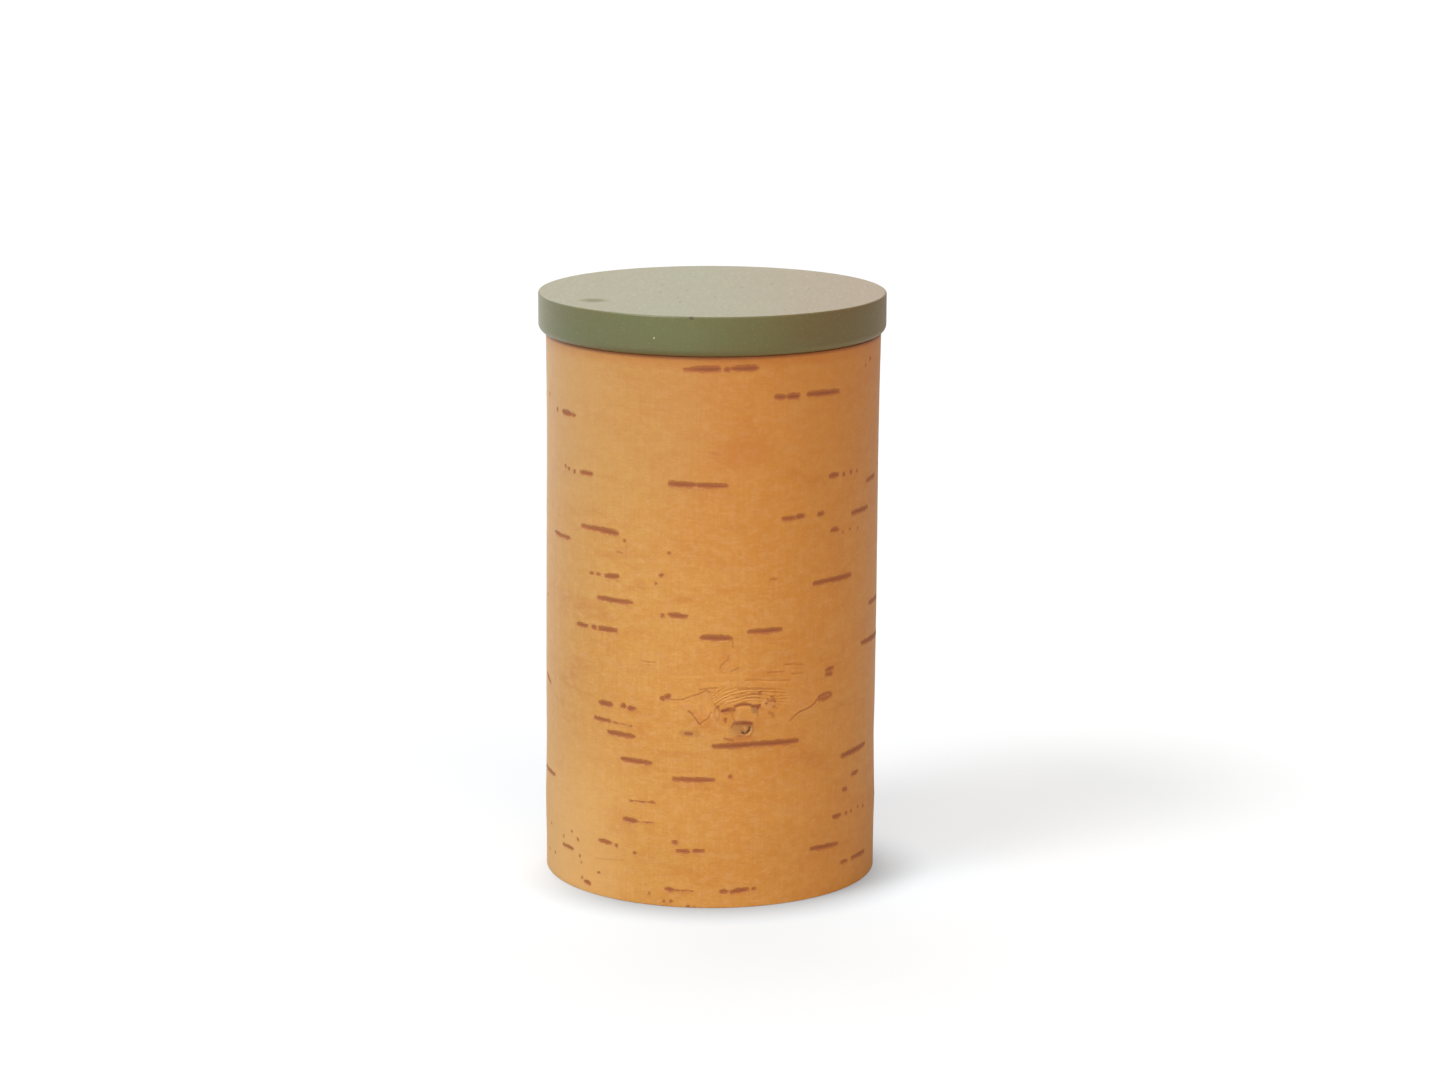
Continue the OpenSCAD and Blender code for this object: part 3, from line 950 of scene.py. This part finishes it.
def buildJacket(look):
    seen = 88 / 360 * look["round"]          # what the camera sees, each way from the front
    start = -(look["round"] / 2 - look["lap"] / 2)
    end = start + look["round"]
    lines = strokesOnWall(lenticelLines + lenticelRings) + dotsOnWall(lenticelDots)
    lines += randomStrokes(11, start + 2, -seen - 6, 4, look["high"] - 4, look["backMarks"][0])
    lines += randomStrokes(12, seen, end - 6, 4, look["high"] - 4, look["backMarks"][1])
    creases = [stroke for line, thick in creaseLines for stroke in runOnWall(line, thick)]
    pitRun = runOnWall(knotLook["pitLine"], knotLook["pitWide"])
    painted = [stroke for line, thick, _ in knotLook["brown"] + knotLook["paleStreakAndHighlight"]
               for stroke in runOnWall(line, thick * markSize)]

    rows = np.linspace(look["edge"], look["high"] - look["edge"], look["rows"] + 1)
    sheet = flatSheet("bark_jacket_sheet", look, jacketColumns(look), rows)
    detail = lines + creases + painted + pitRun
    for near, share in ((1.1, 0.12), (0.45, 0.3)):
        # closer than so many mm to a mark, or where the folds show more than the share,
        # but not beside the seam, whose two edges have to keep the same corners
        finerMesh(sheet, lambda x, z: (x > start + look["lip"] * 0.9) & (x < end - look["lip"] * 0.9) & (
            (strokeField(x, z, detail) < near) | (spotField(x, z, knotLook["folds"]) > share)))
    sheetUv(sheet, look)
    places = readPlaces(sheet)
    across, up = places[:, 0], places[:, 1]

    lenticel = strokeField(across, up, lines)
    ringMiddle = strokeField(across, up, strokesOnWall(lenticelRings)) + ringThick
    lenticel = np.where(ringMiddle < 0.2, np.maximum(lenticel, -ringMiddle - 0.2), lenticel)
    crease = strokeField(across, up, creases, far=2.5)
    pit = strokeField(across, up, pitRun)
    fold, foldShare = foldFields(across, up, knotLook)
    fields = {"lenticel": lenticel, "crease": crease, "pit": pit, "fold": fold, "foldShare": foldShare}
    for name in ("brown", "paleStreakAndHighlight"):
        fields[name] = paintField(across, up, knotLook[name])
    for name in ("grey", "dusty", "stain"):
        fields[name] = spotField(across, up, knotLook[name])
    for name, values in fields.items():
        keepField(sheet, name, values)

    relief = jacketDrift(across, up, look) + knotRelief(across, up, knotLook)
    relief += look["hills"] * (softNoise(across / 21, up / 30, 5) - 0.5)
    relief += look["ripples"] * (softNoise(across / 5, up / 4, 6) - 0.5)
    relief += look["markDepth"] * (bell(lenticel, 0.3, 0.3) - (lenticel < 0))
    relief += look["creaseRidge"] * bell(crease, 0.35, 0.25)
    relief -= look["creaseDepth"] * bell(np.maximum(crease, 0), 0, 0.12)
    relief -= look["pitDepth"] * bell(np.maximum(pit, 0), 0, 0.3)
    toFlap = end - across
    relief += look["flapStands"] * bell(toFlap, 0, 2.5)
    relief -= look["flapStands"] * 0.5 * bell(across, start, 4)
    depth = (jacketRadius - jacketBack) / mm / 2
    atSeam = (across < start + look["seamGap"] / 4) | (toFlap < look["seamGap"] / 4)
    relief = np.where(atSeam, -depth, relief)
    rollSheet(sheet, jacketRadius, across, up, relief)
    closeWall(sheet, look, jacketRadius, jacketBack, 0.5 * mm)
    sheet.data.materials.append(jacketMaterial())
    sheet.data.materials.append(cutEdgeMaterial())
    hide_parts("bark_jacket")
    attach(sheet, "caddy")
    return sheet


def buildSleeve(look):
    columns = np.linspace(-look["round"] / 2, look["round"] / 2, look["columns"] + 1)
    rows = np.linspace(look["edge"], look["high"] - look["edge"], look["rows"] + 1)
    sheet = flatSheet("bark_sleeve_tube", look, columns, rows)
    half = look["round"] / 2
    strokes = randomStrokes(21, -half + 8, half - 16, 4, look["high"] - 3, look["marks"])
    for near in (1.2, 0.5):
        finerMesh(sheet, lambda x, z: strokeField(x, z, strokes) < near)
    sheetUv(sheet, look)
    places = readPlaces(sheet)
    across, up = places[:, 0], places[:, 1]
    lenticel = strokeField(across, up, strokes)
    for name in ("crease", "pit"):
        keepField(sheet, name, np.full(across.shape, 4.0))
    for name in ("brown", "paleStreakAndHighlight", "grey", "dusty", "stain", "fold", "foldShare"):
        keepField(sheet, name, np.zeros(across.shape))
    keepField(sheet, "lenticel", lenticel)
    relief = look["markDepth"] * (bell(lenticel, 0.3, 0.4) - (lenticel < 0))
    rollSheet(sheet, sleeveBore, across, up, -relief)
    closeWall(sheet, look, sleeveBore, sleeveRadius, 0.4 * mm)
    sheet.data.materials.append(sleeveMaterial())
    sheet.data.materials.append(bpy.data.materials["barkCutEdge"])
    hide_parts("bark_sleeve")
    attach(sheet, "caddy")
    return sheet


def countTriangles(piece):
    return sum(len(face.vertices) - 2 for face in piece.data.polygons)


sayStage("bark jacket, %d triangles" % countTriangles(buildJacket(jacket)))
sayStage("bark sleeve, %d triangles" % countTriangles(buildSleeve(sleeve)))

baseLook = {
    "early": colour(232, 202, 158),
    "late": colour(198, 152, 100),
    "ring": 3.4,             # mm from one year to the next
    "pith": (34, -120),      # mm across and up, the middle of the tree beside the board
    "roughness": 0.6,
    "sides": 256,
    "topEase": 0.8,          # mm
    "lowEase": 0.8,
}
plugLook = {
    "early": colour(238, 214, 174),
    "late": colour(220, 186, 138),
    "ring": 2.2,
    "pith": (-18, 20),
    "roughness": 0.55,
    "sides": 256,
    "topEase": 0.2,
    "lowEase": 1.2,
}


def ringField(tree, place, look):
    # distance from the pith in years, for a board sawn along Y
    x, _, z = splitPlace(tree, place)
    drift = grainNoise(tree, place, (0.03, 0.008, 0.03), detail=2)
    reach = lengthOf(tree, minus(tree, x, look["pith"][0]), minus(tree, z, look["pith"][1]))
    reach = plus(tree, reach, times(tree, drift, 16))
    return maths(tree, "FRACT", maths(tree, "DIVIDE", reach, look["ring"]))


def bareWoodMaterial(name, look):
    material, tree, shader = newMaterial(name)
    place = objectPlace(tree)
    year = ringField(tree, place, look)
    late = times(tree, ease(tree, year, 0.25, 0.9), ease(tree, year, 0.93, 1.0, 1, 0))
    pores = grainNoise(tree, place, (3.2, 0.12, 3.2), detail=4, rough=0.6)
    tone = grainNoise(tree, place, (0.04, 0.01, 0.04), detail=2)
    base = layTints(tree, look["early"], look, (
        (times(tree, late, 0.75), "late"),
        (ease(tree, pores, 0.5, 0.8, 0, 0.4), "late"),
        (ease(tree, tone, 0.3, 0.7, 0, 0.25), "late"),
    ))
    rough = plus(tree, look["roughness"], times(tree, pores, 0.15))
    relief = bump(tree, late, 0.05, 0.5, bump(tree, pores, 0.06, 0.8))
    finishShader(tree, shader, base, rough, relief, 0.3)
    return material


lidLook = {
    "paint": colour(103, 112, 75),
    "thinPaintAndWarmLight": colour(112, 98, 64),
    "fleck": colour(78, 72, 46),
    "dark": colour(52, 46, 28),
    "warmBounceLight": colour(134, 130, 84),
    "chip": colour(214, 210, 188),
    "roughness": 0.30,
    "sides": 384,
    "topEase": 0.6,          # mm
    "lowEase": 2.5,
    "topRings": (0.8, 2.2, 4, 6, 8, 9, 9, 8),    # mm from each ring of the top face to the next
    "seatGlue": 0.05,
    "nick": (691, 318),      # frame pixels
    "nickDepth": 0.2,        # mm
    "nickReach": 2.5,        # mm round it that get finer faces
    "nickShape": (0.8, 0.8, 0.55),
    "speck": (654, 338),
    "flecks": [
        (597, 286.5), (593.5, 282), (602.5, 279), (678, 298), (660, 292), (687, 290), (680, 302),
        (715, 297), (796, 291), (809, 289), (772, 284), (695, 277), (742, 287), (785, 310), (662, 285),
    ],
    "smudge": (593.5, 300.4),
}
lidLow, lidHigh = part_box("lid_disc")
plugLow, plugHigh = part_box("lid_plug")


def spotOnTop(x, y):
    # the place on the lid's top under a spot of the frame, in metres
    eye, ray = Vector(cameraLook["place"]), frameRay(x, y)
    return eye + ray * ((lidHigh.z - eye.z) / ray.z)


def lidRimSpot(look):
    # the place of the nick on the lid's top rim
    spot = spotOnTop(*look["nick"])
    outward = Vector((spot.x, spot.y, 0)).normalized()
    return outward * (lidHigh.x - 0.15 * mm) + Vector((0, 0, lidHigh.z - 0.1 * mm))


def distanceTo(tree, place, spot, size=(1, 1, 1)):
    node = tree.nodes.new("ShaderNodeVectorMath")
    node.operation = "DISTANCE"
    feed(tree, node.inputs[0], stretch(tree, place, size))
    node.inputs[1].default_value = [s / mm * k for s, k in zip(spot, size)]
    return node.outputs["Value"]


def paintMaterial(look):
    material, tree, shader = newMaterial("lidPaint")
    place = objectPlace(tree)
    x, _, z = splitPlace(tree, place)
    grain = grainNoise(tree, place, (1.1, 0.25, 1.6), detail=4, rough=0.6)
    upright = grainNoise(tree, place, (2.2, 2.2, 0.12), (4, 0, 0))
    tone = grainNoise(tree, place, (0.05, 0.03, 0.12))
    peel = grainNoise(tree, place, (2.0, 2.0, 2.0), detail=2)
    # random thin paint, plus painted warm light: the paint turns browner toward the right side
    wearAndWarmLight = plus(tree, ease(tree, tone, 0.35, 0.7, 0, 0.3), ease(tree, x, -10.0, 48.0, 0, 0.75))
    smudge = distanceTo(tree, place, spotOnTop(*look["smudge"]), (0.42, 0.45, 1))
    smudge = ease(tree, smudge, 2.5, 0.2)
    flecks = [distanceTo(tree, place, spotOnTop(*fleck), (1, 0.35, 1)) for fleck in look["flecks"]]
    nick = distanceTo(tree, place, lidRimSpot(look))
    across, up = spotOnWall(*look["speck"], lidHigh.x)
    angle = across * mm / lidHigh.x
    speck = (lidHigh.x * math.sin(angle), -lidHigh.x * math.cos(angle), up * mm)
    foot = lidLow.z / mm
    base = layTints(tree, look["paint"], look, [
        (wearAndWarmLight, "thinPaintAndWarmLight"),
        (ease(tree, grain, 0.55, 0.8, 0, 0.14), "fleck"),
        (ease(tree, upright, 0.5, 0.8, 0, 0.15), "fleck"),
        (ease(tree, grain, 0.45, 0.2, 0, 0.12), "chip"),
        *((ease(tree, away, 0.65, 0.25, 0, 0.7), "dark") for away in flecks),
        (times(tree, smudge, 0.12), "dark"),
        (ease(tree, nick, 1.1, 0.5, 0, 0.7), "dark"),
        # painted bounce light: a lighter, warmer paint on the shaded lower rounding of the lid
        (ease(tree, z, foot + 2.6, foot + 0.3, 0, 0.6), "warmBounceLight"),
        (ease(tree, distanceTo(tree, place, speck), 0.36, 0.16, 0, 0.7), "chip"),
    ])
    rough = plus(tree, look["roughness"], times(tree, grain, 0.10))
    rough = plus(tree, rough, times(tree, smudge, 0.3))
    relief = bump(tree, upright, 0.03, 0.5, bump(tree, grain, 0.04, 0.4))
    finishShader(tree, shader, base, rough, bump(tree, peel, 0.02, 0.5, relief), 0.5)
    return material


def addDisc(node, sides):
    low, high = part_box(node)
    deselectAll()
    bpy.ops.mesh.primitive_cylinder_add(vertices=sides, radius=high.x, depth=high.z - low.z,
                                        location=(0, 0, (low.z + high.z) / 2), end_fill_type="NGON")
    return settle(bpy.context.active_object, node + "_turned")


sameHeight = 1e-6            # metres


def easeEdge(disc, height, offset, segments):
    # bevels the ring of edges at one height
    startEdit(disc, "EDGE")
    pickParts(disc, "edges", lambda e: all(abs(v.co.z - height) < sameHeight for v in e.verts))
    bpy.ops.mesh.bevel(offset=offset, segments=segments, profile=0.5)
    endEdit()


def startFlatFace(disc, height):
    # picks the flat face at one height
    startEdit(disc)
    pickParts(disc, "faces", lambda f: abs(f.normal.z) > 0.9
              and abs(f.calc_center_median().z - height) < sameHeight)


def buildLidDisc(look):
    disc = addDisc("lid_disc", look["sides"])
    easeEdge(disc, lidHigh.z, look["topEase"] * mm, 5)
    easeEdge(disc, lidLow.z, look["lowEase"] * mm, 10)
    startFlatFace(disc, lidHigh.z)
    for step in look["topRings"]:
        bpy.ops.mesh.inset(thickness=step * mm)
    endEdit()
    seat = plugHigh.x + look["seatGlue"] * mm
    startFlatFace(disc, lidLow.z)
    bpy.ops.mesh.inset(thickness=lidHigh.x - look["lowEase"] * mm - seat)
    bpy.ops.mesh.extrude_region_move(TRANSFORM_OT_translate={"value": (0, 0, plugHigh.z - lidLow.z)})
    endEdit()
    nick = lidRimSpot(look)
    startEdit(disc)
    pickParts(disc, "faces", lambda f: len(f.verts) == 4
              and (f.calc_center_median() - nick).length < look["nickReach"] * mm)
    bpy.ops.mesh.subdivide(number_cuts=3)
    endEdit()
    places = readPlaces(disc)
    away = np.linalg.norm((places - np.array(nick)) / np.array(look["nickShape"]), axis=1) / mm
    inward = np.array((-nick.x, -nick.y, -0.02))
    inward *= look["nickDepth"] * mm / np.linalg.norm(inward)
    places += bell(away, 0, 0.75)[:, None] * inward
    writePlaces(disc, places)
    smoothPiece(disc)
    disc.data.materials.append(paintMaterial(look))
    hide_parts("lid_disc")
    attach(disc, "lid")


def buildPlug(look):
    plug = addDisc("lid_plug", look["sides"])
    easeEdge(plug, plugLow.z, look["lowEase"] * mm, 3)
    easeEdge(plug, plugHigh.z, look["topEase"] * mm, 2)
    smoothPiece(plug)
    plug.data.materials.append(bareWoodMaterial("plugWood", look))
    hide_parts("lid_plug")
    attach(plug, "lid")


def buildBase(look):
    low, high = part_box("base_disc")
    base = addDisc("base_disc", look["sides"])
    easeEdge(base, low.z, look["lowEase"] * mm, 3)
    easeEdge(base, high.z, look["topEase"] * mm, 3)
    smoothPiece(base)
    base.data.materials.append(bareWoodMaterial("baseWood", look))
    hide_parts("base_disc")
    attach(base, "caddy")


buildLidDisc(lidLook)
buildPlug(plugLook)
buildBase(baseLook)
sayStage("lid and base")

lightLook = {
    # each lamp: where it shines from, strength, degrees across for soft shadows, colour, shown by gloss
    # two keys side by side make a shadow that narrows
    "lamps": {
        "key": ((-0.591, -0.341, 0.731), 0.83, 20, (1.0, 1.0, 1.0), True),
        "sideKey": ((-0.507, -0.456, 0.731), 0.83, 20, (1.0, 1.0, 1.0), True),
        "fill": ((0.224, -0.837, 0.5), 1.84, 70, (1.0, 0.76, 0.54), False),
        "back": ((-0.12, 0.74, 0.66), 1.1, 60, (1.0, 0.98, 0.96), True),
        "top": ((0.0, 0.0, 1.0), 0.65, 60, (1.0, 0.98, 0.94), True),
    },
    "skyColour": (1.0, 0.96, 0.92, 1),
    "skyStrength": 0.16,     # as it lights the object
    "mirrorLeft": (1.05, 1.0, 0.96, 1),      # what gloss shows to the left, to the right and straight back
    "mirrorRight": (0.40, 0.37, 0.34, 1),
    "mirrorBack": (0.72, 0.59, 0.515, 1),
    "floorAlbedo": (0.45, 0.43, 0.41, 1),
    "floorSeen": 0.56,       # the same floor as the camera sees it, with the lift added
    "floorLift": (0.335, 0.384, 0.431, 1),
    "footShade": 0.42,       # how dark the floor is right beside the foot
    "footReach": 19,         # mm
    # the cool tint is painted on the floor round the foot, to cancel the orange light bounced from the bark
    "coolTint": (0.97, 1.05, 1.11, 1),       # of the floor round it, against the bark's glow
}


def addSun(name, comesFrom, strength, wide, tint, inGloss):
    lamp = bpy.data.objects.new(name, bpy.data.lights.new(name, "SUN"))
    bpy.context.scene.collection.objects.link(lamp)
    lamp.data.energy = strength
    lamp.data.color = tint
    lamp.data.angle = math.radians(wide)
    lamp.rotation_euler = Vector(comesFrom).to_track_quat("Z", "Y").to_euler()
    lamp.visible_glossy = inGloss


def rayKinds(tree):
    # seen by the camera, through glass too, and seen in gloss
    rays = tree.nodes.new("ShaderNodeLightPath")
    seen = maths(tree, "MAXIMUM", rays.outputs["Is Camera Ray"], rays.outputs["Is Transmission Ray"])
    return seen, rays.outputs["Is Glossy Ray"]


def lightBesideFoot(tree, place, look):
    # the floor's painted shade beside the foot, its painted cool tint and its share of gloss, by the
    # distance to the foot
    x, y, _ = splitPlace(tree, place)
    away = minus(tree, lengthOf(tree, x, y), jacketRadius / mm)
    away = maths(tree, "DIVIDE", away, look["footReach"])
    near = maths(tree, "MINIMUM", maths(tree, "MAXIMUM", minus(tree, 1, away), 0), 1)
    inFront = minus(tree, times(tree, x, 0.35), times(tree, y, 0.94))
    inFront = ease(tree, inFront, -25.0, 40.0, 0.1, 1.0)
    shade = times(tree, maths(tree, "POWER", near, 1.5), inFront)
    cool = times(tree, ease(tree, away, 3.2, 0.0), inFront)
    return maths(tree, "MULTIPLY_ADD", shade, -look["footShade"], 1), cool, ease(tree, away, 1.5, 13.0)


def buildFloor(look):
    deselectAll()
    bpy.ops.mesh.primitive_plane_add(size=16, location=(0, 0, 0))
    floor = bpy.context.active_object
    floor.name = "floor"
    material, tree, shader = newMaterial("paleFloor")
    seen, inGloss = rayKinds(tree)
    place = objectPlace(tree)
    beside, cool, far = lightBesideFoot(tree, place, look)
    shown = blendColours(tree, beside, (0, 0, 0, 1), (look["floorSeen"],) * 3 + (1,))
    shown = blendColours(tree, cool, shown, look["coolTint"], "MULTIPLY")
    feed(tree, shader.inputs["Base Color"], blendColours(tree, seen, look["floorAlbedo"], shown))
    shader.inputs["Roughness"].default_value = 0.9
    shader.inputs["Specular IOR Level"].default_value = 0.0
    # the lift makes the unshaded floor white; gloss shows less of it to the right
    mirrored = ease(tree, splitPlace(tree, place)[0], 350.0, -350.0, 0.0, 0.6)
    mirrored = times(tree, times(tree, mirrored, far), inGloss)
    lift = tree.nodes.new("ShaderNodeEmission")
    feed(tree, lift.inputs["Color"], blendColours(tree, seen, (1, 1, 1, 1), look["floorLift"]))
    feed(tree, lift.inputs["Strength"], maths(tree, "MULTIPLY_ADD", seen, beside, mirrored))
    both = tree.nodes.new("ShaderNodeAddShader")
    feed(tree, both.inputs[0], shader.outputs[0])
    feed(tree, both.inputs[1], lift.outputs[0])
    feed(tree, tree.nodes["Material Output"].inputs["Surface"], both.outputs[0])
    floor.data.materials.append(material)


def buildWorld(look):
    world = bpy.data.worlds.new("studio")
    bpy.context.scene.world = world
    world.use_nodes = True
    tree = world.node_tree
    room = tree.nodes["Background"]
    room.inputs["Color"].default_value = look["skyColour"]
    room.inputs["Strength"].default_value = look["skyStrength"]
    coords = tree.nodes.new("ShaderNodeTexCoord")
    x, y, _ = splitPlace(tree, coords.outputs["Generated"])
    around = blendColours(tree, ease(tree, x, -0.7, 0.7), look["mirrorLeft"], look["mirrorRight"])
    around = blendColours(tree, ease(tree, y, 0.8, 0.98), around, look["mirrorBack"])
    view, inGloss = rayKinds(tree)
    special = maths(tree, "MAXIMUM", view, inGloss)
    shown = tree.nodes.new("ShaderNodeBackground")
    feed(tree, shown.inputs["Color"], blendColours(tree, view, around, (1, 1, 1, 1)))
    shown.inputs["Strength"].default_value = 1.0
    choose = tree.nodes.new("ShaderNodeMixShader")
    feed(tree, choose.inputs["Fac"], special)
    feed(tree, choose.inputs[1], room.outputs[0])
    feed(tree, choose.inputs[2], shown.outputs[0])
    feed(tree, tree.nodes["World Output"].inputs["Surface"], choose.outputs[0])


buildFloor(lightLook)
buildWorld(lightLook)
for lampName, recipe in lightLook["lamps"].items():
    addSun(lampName, *recipe)
bpy.context.scene.view_settings.view_transform = "Standard"
sayStage("floor and light")
